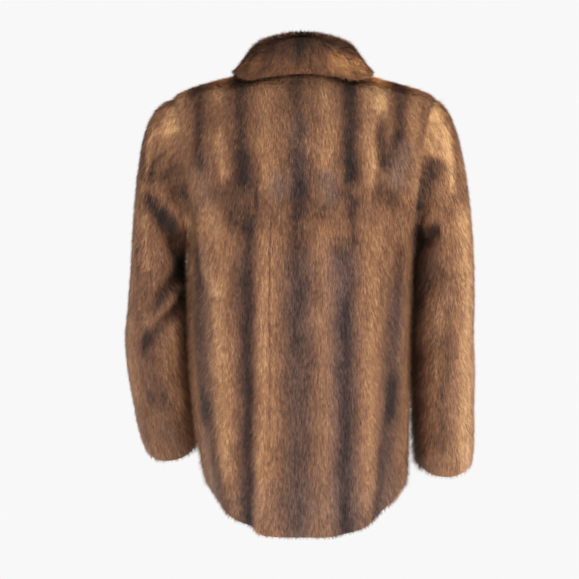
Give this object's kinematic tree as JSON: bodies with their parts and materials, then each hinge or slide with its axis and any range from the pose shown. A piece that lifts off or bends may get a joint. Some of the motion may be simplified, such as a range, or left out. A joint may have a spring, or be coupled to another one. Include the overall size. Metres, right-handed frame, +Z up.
{
  "type": "fur coat",
  "caption": "Short brown mink coat with a turned-down collar, set-in sleeves and a rounded hem, filled out as when worn",
  "frame": {"origin": "Base of the neck, level with the shoulders that carry the coat, on its middle plane", "axes": "+Z up, the front faces -Y, the wearer's left is +X"},
  "size_m": [0.5573, 0.2798, 0.7544],
  "materials": {
    "mink_body": "glossy brown mink pile, pelts running down, satin-brown skin side",
    "mink_sleeve": "glossy brown mink pile, pelts running down the arm, satin-brown skin side",
    "mink_collar": "dense dark brown mink pile, fluffy at the roll"
  },
  "bodies": {
    "root": {"back": "mink_body", "front_left": "mink_body", "front_right": "mink_body", "sleeve_left": "mink_sleeve", "sleeve_right": "mink_sleeve", "collar": "mink_collar"}
  },
  "joints": []
}
